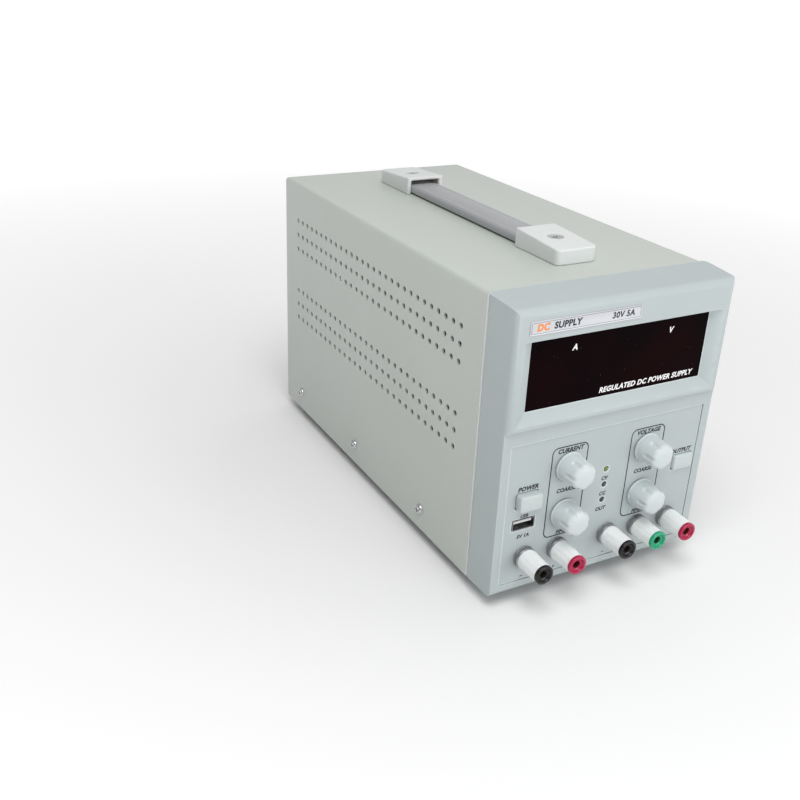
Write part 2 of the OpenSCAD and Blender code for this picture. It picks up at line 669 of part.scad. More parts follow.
module fan_guard() color("silver") case_frame() {
    ring_y = case_d + 1.7;
    for (r = [10, 18.5, 27, 35.5]) translate([fan_at[0], ring_y, fan_at[1]])
        rotate([90, 0, 0]) rotate_extrude() translate([r, 0]) circle(r = 0.9, $fn = 16);
    for (a = [45:90:315]) translate([fan_at[0], case_d + 0.5, fan_at[1]]) rotate([0, a, 0]) {
        rod_x(0, 0, 9, fan_hole * sqrt(2) - 2.6, 0.9);
        translate([fan_hole * sqrt(2), 0.9, 0]) rotate([90, 0, 0]) difference() {
            cylinder(h = 1.8, r = 3.6);
            translate([0, 0, -1]) cylinder(h = 4, r = 1.7);
        }
    }
}

top_cover();
base_chassis();
rear_panel();
front_bezel();
control_panel();
display_window();
name_plate();
case_screws();
feet();
handle_caps();
handle_screws();
strap_rear();
strap_front();
transformer_core();
transformer_coil();
transformer_strap();
transformer_bolts();
main_board();
board_spacers();
filter_capacitors();
bridge_rectifier();
heat_sink();
power_transistors();
wiring();
front_board();
digit_modules();
potentiometers();
potentiometer_nuts();
push_switches();
indicator_leds();
usb_socket();
post_collars();
post_studs();
post_nuts();
mains_inlet();
inlet_pins();
fuse_drawer();
fan_frame();
fan_rotor();
fan_guard();
current_coarse_knob();
current_fine_knob();
voltage_coarse_knob();
voltage_fine_knob();
current_coarse_shaft();
current_fine_shaft();
voltage_coarse_shaft();
voltage_fine_shaft();
power_button();
output_button();
aux_negative_cap();
aux_positive_cap();
main_negative_cap();
ground_cap();
main_positive_cap();
aux_negative_ring();
aux_positive_ring();
main_negative_ring();
ground_ring();
main_positive_ring();
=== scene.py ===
"""Looks of the bench power supply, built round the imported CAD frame.

Lengths are metres in the frame's own axes: +X right, -Y front, +Z up.  Every place comes from
the boxes of CAD nodes; MM turns the small details, given in millimetres, into metres.
"""
import json
import math

import bmesh
import bpy
from mathutils import Matrix, Vector

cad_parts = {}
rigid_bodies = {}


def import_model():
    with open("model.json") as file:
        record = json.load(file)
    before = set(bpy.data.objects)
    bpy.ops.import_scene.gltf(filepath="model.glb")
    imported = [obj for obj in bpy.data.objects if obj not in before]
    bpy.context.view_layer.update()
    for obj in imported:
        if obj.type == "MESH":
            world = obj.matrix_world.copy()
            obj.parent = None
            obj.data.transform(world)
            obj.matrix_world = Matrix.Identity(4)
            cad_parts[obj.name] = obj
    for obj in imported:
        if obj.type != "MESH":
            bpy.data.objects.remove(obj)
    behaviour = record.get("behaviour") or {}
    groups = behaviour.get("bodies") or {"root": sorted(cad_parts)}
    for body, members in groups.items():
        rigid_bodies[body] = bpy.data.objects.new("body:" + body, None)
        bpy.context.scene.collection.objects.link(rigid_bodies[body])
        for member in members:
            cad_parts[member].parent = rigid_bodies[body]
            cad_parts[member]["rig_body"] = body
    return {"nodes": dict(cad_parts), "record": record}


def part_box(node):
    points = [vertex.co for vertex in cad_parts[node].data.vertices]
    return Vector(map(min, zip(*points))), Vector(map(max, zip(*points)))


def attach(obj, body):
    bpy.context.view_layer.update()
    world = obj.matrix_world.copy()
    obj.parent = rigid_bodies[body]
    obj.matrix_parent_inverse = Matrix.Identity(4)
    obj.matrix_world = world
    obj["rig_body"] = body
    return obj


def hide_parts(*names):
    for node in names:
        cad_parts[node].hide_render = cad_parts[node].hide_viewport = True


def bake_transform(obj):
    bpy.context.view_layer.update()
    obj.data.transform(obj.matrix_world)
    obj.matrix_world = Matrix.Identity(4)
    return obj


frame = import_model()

MM = 0.001
SAME_POINT = 0.002 * MM
SHARP_ANGLE = math.radians(40)
KNOBS = ["current_coarse", "current_fine", "voltage_coarse", "voltage_fine"]
POSTS = ["aux_negative", "aux_positive", "main_negative", "ground", "main_positive"]
bpy.context.view_layer.update()

# ---------------- places from the frame


class Box:
    """A box given by two corners, with its centre and size."""

    def __init__(self, lo, hi):
        self.lo, self.hi = Vector(lo), Vector(hi)
        self.centre = (self.lo + self.hi) / 2
        self.size = self.hi - self.lo


def box(node):
    """The box of a CAD node at rest."""
    return Box(*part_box(node))


def solids(node):
    """The boxes of a CAD node's separate solids, from left to right, then upwards."""
    bm = bmesh.new()
    bm.from_mesh(frame["nodes"][node].data)
    bmesh.ops.remove_doubles(bm, verts=bm.verts, dist=SAME_POINT)
    found, seen = [], set()
    for seed in bm.verts:
        if seed in seen:
            continue
        seen.add(seed)
        island, edge = [seed], [seed]
        while edge:
            for link in edge.pop().link_edges:
                for vert in link.verts:
                    if vert not in seen:
                        seen.add(vert)
                        island.append(vert)
                        edge.append(vert)
        points = [v.co.copy() for v in island]
        found.append(Box([min(p[i] for p in points) for i in range(3)],
                         [max(p[i] for p in points) for i in range(3)]))
    bm.free()
    return sorted(found, key=lambda b: (round(b.centre.x, 4), round(b.centre.z, 4)))


def facing(point, direction):
    """Matrix that puts a part made along local z at a point, with its z along a direction."""
    turn = Vector(direction).to_track_quat("Z", "Y").to_matrix().to_4x4()
    return Matrix.Translation(point) @ turn


def on_front(x, y, z):
    """Matrix for a part on the front: local x stays x, y is up, and z points out."""
    return Matrix.Translation((x, y, z)) @ Matrix.Rotation(math.pi / 2, 4, "X")


def smoothstep(low, high, value):
    """0 below low, 1 above high, and a smooth rise between."""
    t = min(max((value - low) / (high - low), 0.0), 1.0)
    return t * t * (3 - 2 * t)


# ---------------- procedural finishes


def add_node(tree, kind, inputs=(), **settings):
    """Adds a shader node; an input is a plain value or another node's output."""
    made = tree.nodes.new("ShaderNode" + kind)
    for key, value in settings.items():
        setattr(made, key, value)
    for key, value in dict(inputs).items():
        if isinstance(value, bpy.types.NodeSocket):
            tree.links.new(value, made.inputs[key])
        else:
            made.inputs[key].default_value = value
    return made


class Finish:
    """A Principled material to which layers of colour, gloss and relief are added."""

    def __init__(self, color, roughness, metallic=0.0, **extra):
        self.material = bpy.data.materials.new("finish")
        self.material.use_nodes = True
        self.material.diffuse_color = (*color, 1)
        self.tree = self.material.node_tree
        self.shader = self.tree.nodes["Principled BSDF"]
        self.place = self.tree.nodes.new("ShaderNodeTexCoord").outputs["Object"]
        self.color, self.roughness, self.normal = (*color, 1), roughness, None
        self.shader.inputs["Base Color"].default_value = self.color
        self.shader.inputs["Roughness"].default_value = roughness
        self.shader.inputs["Metallic"].default_value = metallic
        for key, value in extra.items():
            self.shader.inputs[key.replace("_", " ")].default_value = value

    def node(self, kind, inputs=(), **settings):
        return add_node(self.tree, kind, inputs, **settings)

    def noise(self, scale, detail=2.0, stretch=None):
        """Cloudy noise, its features about 1 / scale / stretch metres across."""
        place = self.place
        if stretch is not None:
            place = self.node("VectorMath", {0: place, 1: stretch}, operation="MULTIPLY").outputs[0]
        return self.node("TexNoise", {"Vector": place, "Scale": scale,
                                      "Detail": detail}).outputs["Fac"]

    def cells(self, scale, feature="F1"):
        """Distance inside cells that are about 1 / scale metres across."""
        return self.node("TexVoronoi", {"Vector": self.place, "Scale": scale},
                         feature=feature).outputs["Distance"]

    def bands(self, axis, pitch, profile="SIN", wobble=0.0):
        """Stripes across an axis, one every pitch metres."""
        return self.node("TexWave", {"Vector": self.place, "Scale": math.pi / 10 / pitch,
                                     "Distortion": wobble, "Detail": 1.0},
                         bands_direction=axis, wave_profile=profile).outputs["Fac"]

    def ramp(self, value, low, high, to_low=0.0, to_high=1.0):
        """Maps low..high to to_low..to_high, and holds the ends."""
        return self.node("MapRange", {"Value": value, "From Min": low, "From Max": high,
                                      "To Min": to_low, "To Max": to_high}).outputs["Result"]

    def calc(self, operation, *values):
        """The result of a Math node."""
        return self.node("Math", dict(enumerate(values)), operation=operation).outputs[0]

    def times(self, a, b):
        return self.calc("MULTIPLY", a, b)

    def edges(self, radius, low=0.02, high=0.25):
        """A mask that is 1 on outer and inner edges."""
        rounded = self.node("Bevel", {"Radius": radius}, samples=4).outputs[0]
        true = self.node("NewGeometry").outputs["True Normal"]
        dot = self.node("VectorMath", {0: rounded, 1: true}, operation="DOT_PRODUCT")
        return self.ramp(dot.outputs["Value"], 1 - low, 1 - high)

    def tint(self, mask, color):
        """Lays a colour over what is there, where the mask is above 0."""
        mix = self.node("Mix", {0: mask, 6: self.color, 7: (*color, 1)}, data_type="RGBA")
        self.color = mix.outputs[2]
        self.tree.links.new(self.color, self.shader.inputs["Base Color"])
        return self

    def gloss(self, mask, change):
        """Adds the mask times change to the roughness."""
        total = self.node("Math", {0: self.roughness, 1: self.times(mask, change)},
                          operation="ADD", use_clamp=True)
        self.roughness = total.outputs[0]
        self.tree.links.new(self.roughness, self.shader.inputs["Roughness"])
        return self

    def relief(self, height, depth):
        """Raises the surface by the height mask times depth metres."""
        bump = self.node("Bump", {"Height": height, "Distance": depth})
        if self.normal:
            self.tree.links.new(self.normal, bump.inputs["Normal"])
        self.normal = bump.outputs[0]
        self.tree.links.new(self.normal, self.shader.inputs["Normal"])
        return self


def shade(color, factor):
    """A colour made darker or brighter."""
    return tuple(min(c * factor, 1.0) for c in color)


def painted_steel(color):
    """Satin stove enamel: orange peel, faint flecks, rubbed edges and a painted highlight on the front
    cut edge.
    """
    f = Finish(color, 0.36, Coat_Weight=0.12, Coat_Roughness=0.3)
    f.tint(f.ramp(f.noise(14, 4), 0.35, 0.7, 0, 0.6), shade(color, 0.95))
    f.tint(f.ramp(f.noise(3200, 1), 0.55, 0.75, 0, 0.35), shade(color, 1.12))
    rubbed = f.times(f.edges(0.5 * MM), f.ramp(f.noise(120, 3), 0.4, 0.7, 0, 0.5))
    f.tint(rubbed, shade(color, 1.2))
    # Painted highlight: the cover's front cut edge is painted near white, a bright line along the seam
    # with the bezel.
    along = f.node("SeparateXYZ", {0: f.place}).outputs["Y"]
    front_edge = box("top_cover").lo.y
    f.tint(f.ramp(along, front_edge + 0.3 * MM, front_edge + 0.1 * MM), (0.9, 0.9, 0.9))
    f.gloss(f.noise(70, 3), 0.12)
    f.relief(f.noise(520, 2), 0.03 * MM)
    return f.relief(f.noise(2600, 1), 0.008 * MM)


def moulded(color, roughness, grain=1500, depth=0.02, mottle=0.95, edge=1.1, rim=0.4,
            **extra):
    """Moulded plastic with a spark-eroded grain, cloudy tone and paler edges: wear, and a painted
    highlight where edge is large.
    """
    f = Finish(color, roughness, **extra)
    f.tint(f.ramp(f.noise(22, 3), 0.35, 0.7, 0, 0.7), shade(color, mottle))
    f.tint(f.ramp(f.noise(2300, 1), 0.5, 0.8, 0, 0.3), shade(color, mottle * 0.97))
    # Paler edges: wear on most plastics, and on the bezel, where edge is 1.75, a painted highlight.
    pale_edges = f.times(f.edges(rim * MM), f.ramp(f.noise(160, 2), 0.3, 0.7, 0.2, 0.7))
    f.tint(pale_edges, shade(color, edge))
    f.gloss(f.noise(110, 3), 0.14)
    f.relief(f.cells(grain), depth * MM)
    return f.relief(f.noise(grain * 0.6, 2), depth * MM)


def panel_film(color):
    """Satin film of the control panel, with a painted highlight along its bevelled rim."""
    f = moulded(color, 0.4, grain=2200, depth=0.01, mottle=0.97)
    # Painted highlight: the rim is tinted nearly twice as bright as the film.
    return f.tint(f.edges(0.9 * MM, 0.005, 0.06), shade(color, 1.9))


def metal(color, roughness, stretch=(1, 1, 1), depth=0.01):
    """Worked metal: fine drawn or turned lines, dull patches and brighter edges."""
    f = Finish(color, roughness, 1.0)
    f.tint(f.ramp(f.noise(60, 4), 0.4, 0.7, 0, 0.7), shade(color, 0.8))
    pale_edges = f.times(f.edges(0.3 * MM), f.ramp(f.noise(300, 2), 0.3, 0.7, 0.2, 0.8))
    f.tint(pale_edges, shade(color, 1.25))
    f.gloss(f.noise(240, 3, stretch), 0.22)
    return f.relief(f.noise(900, 2, stretch), depth * MM)


def zinc_sheet(color):
    """Zinc plate with faint crystal spangle."""
    f = metal(color, 0.34)
    f.tint(f.ramp(f.cells(170), 0.2, 0.9, 0, 0.5), shade(color, 0.82))
    return f.gloss(f.cells(260), 0.12)


def acrylic(color):
    """Polished dark red acrylic with fine wipe marks and a few dust specks."""
    f = Finish(color, 0.08, Specular_IOR_Level=0.02)
    f.tint(f.ramp(f.noise(26, 3), 0.42, 0.75), (0.008, 0.001, 0.0015))
    f.tint(f.ramp(f.cells(330), 0.035, 0.02), (0.25, 0.25, 0.25))
    f.gloss(f.ramp(f.noise(90, 4, (1, 1, 5)), 0.5, 0.8), 0.14)
    return f.relief(f.noise(40, 2), 0.012 * MM)


def foil(color):
    """Brushed silver label foil."""
    f = Finish(color, 0.34, 0.75)
    f.tint(f.ramp(f.noise(420, 3, (0.06, 1, 1)), 0.3, 0.7, 0, 0.6), shade(color, 0.86))
    f.gloss(f.noise(500, 2, (0.06, 1, 1)), 0.2)
    return f.relief(f.noise(700, 2, (0.05, 1, 1)), 0.006 * MM)


def vinyl(color):
    """Soft strap vinyl with a leather-like grain and long pull lines."""
    f = Finish(color, 0.42, Sheen_Weight=0.15)
    f.tint(f.ramp(f.noise(40, 3, (1, 0.25, 1)), 0.35, 0.7, 0, 0.8), shade(color, 0.88))
    f.tint(f.ramp(f.cells(1400), 0.0, 0.35, 0.4, 0), shade(color, 0.8))
    f.gloss(f.noise(130, 2), 0.16)
    f.relief(f.cells(1400), 0.05 * MM)
    return f.relief(f.noise(500, 2, (1, 0.08, 1)), 0.03 * MM)


def rubber(color):
    """Matt rubber, scuffed paler in patches."""
    f = Finish(color, 0.7)
    f.tint(f.ramp(f.noise(120, 3), 0.45, 0.75), shade(color, 1.8))
    f.gloss(f.noise(200, 2), 0.15)
    return f.relief(f.cells(1300), 0.05 * MM)


def laminated_iron(color):
    """Varnished transformer laminations, stacked along y."""
    f = Finish(color, 0.45, 0.6)
    f.tint(f.ramp(f.bands("Y", 0.5 * MM, wobble=0.3), 0.35, 0.75), shade(color, 0.45))
    f.tint(f.ramp(f.noise(60, 4), 0.5, 0.8, 0, 0.6), (0.16, 0.09, 0.04))
    f.gloss(f.noise(150, 3), 0.25)
    return f.relief(f.bands("Y", 0.5 * MM, wobble=0.3), 0.08 * MM)


def wound_tape(color):
    """Amber insulating tape wound round the coil, with overlapping turns."""
    f = Finish(color, 0.25, Coat_Weight=0.4)
    lap = f.bands("Z", 9 * MM, "SAW", 0.4)
    f.tint(f.ramp(lap, 0.0, 0.12, 0.7, 0), shade(color, 0.5))
    f.tint(f.ramp(f.noise(50, 3), 0.4, 0.7, 0, 0.5), shade(color, 0.75))
    f.gloss(f.noise(90, 3), 0.2)
    return f.relief(lap, 0.12 * MM)


def solder_mask(color):
    """Green circuit board: traces show through the mask, with plated holes."""
    f = Finish(color, 0.28, Coat_Weight=0.5)
    traces = f.ramp(f.cells(260, "DISTANCE_TO_EDGE"), 0.06, 0.09)
    f.tint(traces, shade(color, 1.9))
    f.tint(f.ramp(f.cells(190), 0.10, 0.07), (0.55, 0.56, 0.55))
    f.gloss(f.noise(400, 2), 0.15)
    return f.relief(traces, 0.04 * MM)


def sleeve(color):
    """Capacitor sleeve with a paler stripe and slight shrink wrinkles."""
    f = Finish(color, 0.25, Coat_Weight=0.3)
    f.tint(f.ramp(f.bands("Y", 21 * MM), 0.93, 0.96), (0.55, 0.57, 0.62))
    f.tint(f.ramp(f.noise(90, 3), 0.45, 0.75, 0, 0.5), shade(color, 1.6))
    f.gloss(f.noise(160, 2), 0.2)
    return f.relief(f.noise(300, 2, (1, 1, 0.15)), 0.06 * MM)


def cable(color):
    """Soft cable sheath, dulled in patches by handling."""
    f = Finish(color, 0.4)
    f.tint(f.ramp(f.noise(60, 3), 0.4, 0.7, 0, 0.7), shade(color, 0.55))
    f.gloss(f.noise(150, 2), 0.2)
    return f.relief(f.noise(900, 2), 0.03 * MM)


def threaded_brass(color):
    """Brass posts: a fine thread outside, and painted shade inside each socket, tinted with the colour
    of the post's ring.
    """
    bore_edge, skin, thread_edge = 2.2 * MM, 2.3 * MM, 2.5 * MM
    near = 5 * MM
    f = metal(color, 0.22, depth=0.005)
    x, _, z = f.node("SeparateXYZ", {0: f.place}).outputs
    nearest = None
    for post in POSTS:
        gap = f.calc("ABSOLUTE", f.calc("SUBTRACT", x, box(post + "_ring").centre.x))
        nearest = f.calc("MINIMUM", gap, nearest) if nearest else gap
    above = f.calc("SUBTRACT", z, box(POSTS[0] + "_ring").centre.z)
    offset = f.node("CombineXYZ", {"X": nearest, "Y": above}).outputs[0]
    radius = f.node("VectorMath", {0: offset}, operation="LENGTH").outputs["Value"]
    outside = f.ramp(radius, skin, thread_edge)
    thread = f.times(f.bands("Y", 0.8 * MM, "TRI"), outside)
    f.tint(f.times(f.ramp(thread, 0.4, 0.0, 0, 0.5), outside), shade(color, 0.55))
    # Painted shade: inside the socket the stud is darkened to a deep tint of its post's ring colour, not
    # metallic.
    bore_shade = f.ramp(radius, skin, bore_edge, 0, 0.95)
    for post in POSTS:
        ring = post + "_ring"
        here = f.calc("COMPARE", x, box(ring).centre.x, near)
        f.tint(f.times(bore_shade, here), shade(RINGS[SLOTS[ring]], 0.3))
    f.tree.links.new(f.ramp(radius, bore_edge, skin), f.shader.inputs["Metallic"])
    return f.relief(thread, 0.25 * MM)


def lens(color):
    """Tinted LED epoxy with a paler reflector cup inside."""
    f = Finish(color, 0.12, Coat_Weight=0.6)
    f.tint(f.ramp(f.noise(700, 2), 0.4, 0.65, 0, 0.7), shade(color, 1.8))
    f.gloss(f.noise(400, 2), 0.1)
    return f.relief(f.noise(500, 1), 0.01 * MM)


def ink(color):
    """Screen-printed ink, slightly uneven."""
    f = Finish(color, 0.45)
    f.tint(f.ramp(f.noise(1500, 2), 0.4, 0.7, 0, 0.6), shade(color, 1.35))
    f.gloss(f.noise(600, 2), 0.2)
    return f.relief(f.noise(2500, 2), 0.01 * MM)


def ring_gloss(color, coat):
    """Glossy moulded plastic of a binding post's coloured ring."""
    return moulded(color, 0.2, grain=900, depth=0.004, mottle=0.85, edge=1.4,
                   Coat_Weight=coat, Specular_IOR_Level=0.35)


PAINT = (0.515, 0.55, 0.515)
BEZEL = (0.435, 0.485, 0.49)
WHITE = (0.70, 0.71, 0.70)
RINGS = {"ring_black": (0.006, 0.006, 0.007), "ring_red": (0.42, 0.006, 0.06),
         "ring_green": (0.012, 0.36, 0.18)}
SLOTS = {part["node"]: part["material_slot"] for part in frame["record"]["subparts"]}
FINISHES = {
    "case_paint": painted_steel(PAINT),
    "zinc_steel": zinc_sheet((0.60, 0.61, 0.62)),
    # Bezel: edge 1.75 and a wide rim paint a highlight along all its edges.
    "bezel_plastic": moulded(BEZEL, 0.42, grain=1700, depth=0.025, mottle=0.96, edge=1.75, rim=0.7),
    "window_acrylic": acrylic((0.003, 0.001, 0.0015)),
    "silver_label": foil((0.57, 0.58, 0.61)),
    "screw_steel": metal((0.66, 0.66, 0.67), 0.22, depth=0.006),
    "foot_rubber": rubber((0.025, 0.025, 0.025)),
    "white_plastic": moulded(WHITE, 0.34, grain=1200, depth=0.006, mottle=0.96,
                             edge=1.06, Subsurface_Weight=0.05),
    "post_plastic": moulded((0.86, 0.87, 0.86), 0.3, grain=1200, depth=0.006,
                            mottle=0.96, edge=1.05, Subsurface_Weight=0.05),
    "button_plastic": moulded((0.52, 0.57, 0.57), 0.30, grain=1400, depth=0.006, mottle=0.97, edge=1.12),
    "strap_vinyl": vinyl((0.36, 0.365, 0.38)),
    "core_iron": laminated_iron((0.14, 0.14, 0.15)),
    "coil_tape": wound_tape((0.60, 0.38, 0.07)),
    "circuit_board": solder_mask((0.02, 0.14, 0.05)),
    "brass": metal((0.78, 0.60, 0.30), 0.24, depth=0.005),
    "threaded_brass": threaded_brass((0.78, 0.60, 0.30)),
    "capacitor_sleeve": sleeve((0.02, 0.03, 0.09)),
    "black_plastic": moulded((0.026, 0.026, 0.027), 0.42, grain=1300, depth=0.02, mottle=1.4, edge=2.2),
    "heat_sink_aluminium": metal((0.60, 0.61, 0.63), 0.3, (1, 0.05, 1)),
    "cable_sheath": cable((0.30, 0.03, 0.02)),
    "pot_metal": metal((0.50, 0.50, 0.44), 0.35),
    "led_lens": lens((0.018, 0.021, 0.018)),
    "led_lens_green": lens((0.10, 0.125, 0.016)),
    "collar_metal": metal((0.38, 0.39, 0.40), 0.25, (1, 0.1, 1), depth=0.006),
    "knob_plastic": moulded((0.60, 0.65, 0.655), 0.30, grain=1500, depth=0.012,
                            mottle=0.93, edge=1.12, Subsurface_Weight=0.03),
    "panel_plastic": panel_film(BEZEL),
    "shaft_metal": metal((0.62, 0.62, 0.62), 0.28, (1, 6, 1)),
    "ring_black": ring_gloss(RINGS["ring_black"], 0.1),
    "ring_red": ring_gloss(RINGS["ring_red"], 0.3),
    "ring_green": ring_gloss(RINGS["ring_green"], 0.3),
    "dark_ink": ink((0.012, 0.016, 0.022)),
    "white_ink": ink((0.80, 0.80, 0.80)),
    "orange_ink": ink((0.75, 0.22, 0.03)),
}
for name, finish in FINISHES.items():
    finish.material.name = name

# ---------------- mesh building


class Shape:
    """Vertices and faces of one piece, gathered from skinned rings of points."""

    def __init__(self):
        self.vertices, self.faces = [], []

    def skin(self, rings, place=None, closed=False):
        """Joins rings that have the same number of points; open ends are capped."""
        place = place or Matrix()
        first, count = len(self.vertices), len(rings[0])
        for ring in rings:
            self.vertices += [place @ Vector(p) for p in ring]
        for i in range(len(rings) if closed else len(rings) - 1):
            a, b = first + i * count, first + (i + 1) % len(rings) * count
            self.faces += [(a + j, a + (j + 1) % count, b + (j + 1) % count, b + j)
                           for j in range(count)]
        if not closed:
            last = first + (len(rings) - 1) * count
            self.faces += [tuple(first + j for j in reversed(range(count))),
                           tuple(last + j for j in range(count))]
        return self

    def turn(self, profile, place, segments=64, closed=False, radius=None, angles=None):
        """Turns (radius, height) points about local z; radius(r, h, angle) can reshape it."""
        angles = angles or [2 * math.pi * i / segments for i in range(segments)]
        rings = []
        for r, h in profile:
            reach = [radius(r, h, a) if radius else r for a in angles]
            rings.append([(d * math.cos(a), d * math.sin(a), h) for d, a in zip(reach, angles)])
        return self.skin(rings, place, closed)

    def slab(self, width, height, corner, profile, place, steps=6, closed=False):
        """Stacks rounded rectangles, each given by (inset, level) in the profile."""
        rings = []
        for inset, level in profile:
            outline = rounded_rectangle(width - 2 * inset, height - 2 * inset,
                                        max(corner - inset, 0.05 * MM), steps)
            rings.append([(x, y, level) for x, y in outline])
        return self.skin(rings, place, closed)


def rounded_rectangle(width, height, corner, steps):
    """Points of a rectangle whose corners are arcs of so many steps."""
    points = []
    for quarter, (sx, sy) in enumerate([(1, 1), (-1, 1), (-1, -1), (1, -1)]):
        for i in range(steps + 1):
            a = math.pi / 2 * (quarter + i / steps)
            points.append((sx * (width / 2 - corner) + corner * math.cos(a),
                           sy * (height / 2 - corner) + corner * math.sin(a)))
    return points


def in_mm(profile):
    """Turns the (radius, height) pairs of a profile from millimetres into metres."""
    return [(a * MM, b * MM) for a, b in profile]


def arc(centre, radius, start, end):
    """Points of a profile on an arc, with angles in degrees."""
    steps = 5
    turns = [math.radians(start + (end - start) * i / steps) for i in range(steps + 1)]
    return [(centre[0] + radius * math.cos(a), centre[1] + radius * math.sin(a)) for a in turns]


def tidy_mesh(mesh, smooth):
    """Merges doubled points, turns faces outwards, and smooths edges up to smooth degrees."""
    bm = bmesh.new()
    bm.from_mesh(mesh)
    bmesh.ops.remove_doubles(bm, verts=bm.verts, dist=0.001 * MM)
    bmesh.ops.dissolve_degenerate(bm, edges=bm.edges, dist=0.001 * MM)
    bmesh.ops.recalc_face_normals(bm, faces=bm.faces)
    bm.to_mesh(mesh)
    bm.free()
    mesh.polygons.foreach_set("use_smooth", [True] * len(mesh.polygons))
    mesh.set_sharp_from_angle(angle=math.radians(smooth))


def add_piece(name, mesh, body, slot, stands_for=(), finish=None):
    """Puts a mesh in the scene, on its body, with the finish of its material slot."""
    piece = bpy.data.objects.new(name, mesh)
    bpy.context.scene.collection.objects.link(piece)
    mesh.materials.clear()
    mesh.materials.append(FINISHES[finish or slot].material)
    if body:
        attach(piece, body)
    if stands_for:
        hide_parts(*stands_for)
    return piece


def add_shape(name, shape, body, slot, stands_for=(), smooth=35, finish=None):
    """Makes a piece of a Shape, as add_piece does of a mesh."""
    mesh = bpy.data.meshes.new(name)
    mesh.from_pydata(shape.vertices, [], shape.faces)
    tidy_mesh(mesh, smooth)
    return add_piece(name, mesh, body, slot, stands_for, finish)


def soften(piece, width, segments, clamp):
    """Rounds a piece's sharp edges by width mm, and its flat faces are shaded flat."""
    bevel = piece.modifiers.new("soft_edges", "BEVEL")
    bevel.width = width * MM
    bevel.segments = segments
    bevel.limit_method = "ANGLE"
    bevel.angle_limit = SHARP_ANGLE
    bevel.use_clamp_overlap = clamp
    bevel.miter_outer = "MITER_ARC"
    flat = piece.modifiers.new("flat_faces", "WEIGHTED_NORMAL")
    flat.keep_sharp = True
    flat.weight = 90


def refine(node, width, segments=2, clamp=True, finish=None):
    """A softened copy of a CAD node with whole flat faces, in place of the node."""
    source = frame["nodes"][node]
    mesh = source.data.copy()
    mesh.name = node + "_refined"
    bm = bmesh.new()
    bm.from_mesh(mesh)
    bmesh.ops.remove_doubles(bm, verts=bm.verts, dist=SAME_POINT)
    bmesh.ops.dissolve_limit(bm, angle_limit=math.radians(0.2), verts=bm.verts, edges=bm.edges)
    for face in bm.faces:
        face.smooth = True
    bm.to_mesh(mesh)
    bm.free()
    mesh.set_sharp_from_angle(angle=SHARP_ANGLE)
    piece = add_piece(node + "_refined", mesh, source["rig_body"], SLOTS[node], [node], finish)
    soften(piece, width, segments, clamp)
    return piece


# ---------------- case and bezel


def screw_shape(shape, place, head_radius, head_height, shank_radius, length):
    """Adds a cross-recess screw, its head above z = 0 and a ridged shank below."""
    arm, slot_half = head_radius * 0.62, head_radius * 0.13
    tip = math.atan2(slot_half, arm)
    octant = [0, tip * 0.5, tip, (tip + math.pi / 4) / 2, math.pi / 4]
    quarter = octant + [math.pi / 2 - a for a in reversed(octant[1:-1])]
    angles = [q * math.pi / 2 + a for q in range(4) for a in quarter]
    never_zero = 1e-9

    def cross(r, h, angle):
        """Circle outside the recess, and a cross where r is negative."""
        if r >= 0:
            return r
        c, s = abs(math.cos(angle)) + never_zero, abs(math.sin(angle)) + never_zero
        reach = max(min(arm / c, slot_half / s), min(arm / s, slot_half / c))
        return reach * -r

    profile = [(0.02 * MM, -length), (shank_radius * 0.6, -length)]
    pitch = 0.5 * MM
    level = 0.4 * MM - length
    while level < -pitch:
        profile += [(shank_radius * 0.86, level), (shank_radius, level + pitch / 2)]
        level += pitch
    profile += [(shank_radius * 0.9, 0), (head_radius * 0.96, 0), (head_radius, 0.12 * head_height)]
    profile += [(head_radius * math.cos(t), head_height * (0.12 + 0.88 * math.sin(t)))
                for t in (0.3, 0.55, 0.8)]
    profile += [(head_radius * 0.68, head_height * 0.90), (-1.0, head_height * 0.93)]
    profile += [(-0.9, head_height * 0.5), (-0.25, head_height * 0.3)]
    shape.turn(profile, place, radius=cross, angles=angles)


def flare_vents(piece):
    """Widens the inner rim of each vent hole, like the break-out of a punched hole."""
    inner_face, near, hole_limit, flare = 63.8 * MM, 0.05 * MM, 2 * MM, 1.8
    bm = bmesh.new()
    bm.from_mesh(piece.data)
    rims = {v for v in bm.verts if abs(abs(v.co.x) - inner_face) < near}
    while rims:
        loop, edge = [], [rims.pop()]
        while edge:
            vert = edge.pop()
            loop.append(vert)
            for link in vert.link_edges:
                other = link.other_vert(vert)
                if other in rims:
                    rims.remove(other)
                    edge.append(other)
        centre = sum((v.co for v in loop), Vector()) / len(loop)
        if max((v.co - centre).length for v in loop) < hole_limit:
            for vert in loop:
                vert.co = centre + (vert.co - centre) * flare
    bm.to_mesh(piece.data)
    bm.free()


def build_case():
    """The folded steel case, the bezel with its panel, the feet and the case screws."""
    flare_vents(refine("top_cover", 0.22, 2))
    refine("rear_panel", 0.15, 1)
    refine("base_chassis", 0.15, 1)
    refine("front_bezel", 0.45, 3)
    refine("control_panel", 0.3, 2, clamp=False, finish="panel_plastic")
    refine("feet", 0.5, 3)
    screws = Shape()
    side_wall, base_level = 60 * MM, 9 * MM
    head_radius, head, shank_radius = 3 * MM, 2 * MM, 1.5 * MM
    for spot in solids("case_screws"):
        if abs(spot.centre.x) > side_wall:
            outward = Vector((math.copysign(1, spot.centre.x), 0, 0))
        elif spot.centre.z < base_level:
            outward = Vector((0, 0, -1))
        else:
            outward = Vector((0, 1, 0))
        length = abs(spot.size.dot(outward))
        under_head = spot.centre + outward * (length / 2 - head)
        screw_shape(screws, facing(under_head, outward), head_radius, head, shank_radius,
                    length - head)
    add_shape("case_screw_set", screws, "root", "screw_steel", ["case_screws"])


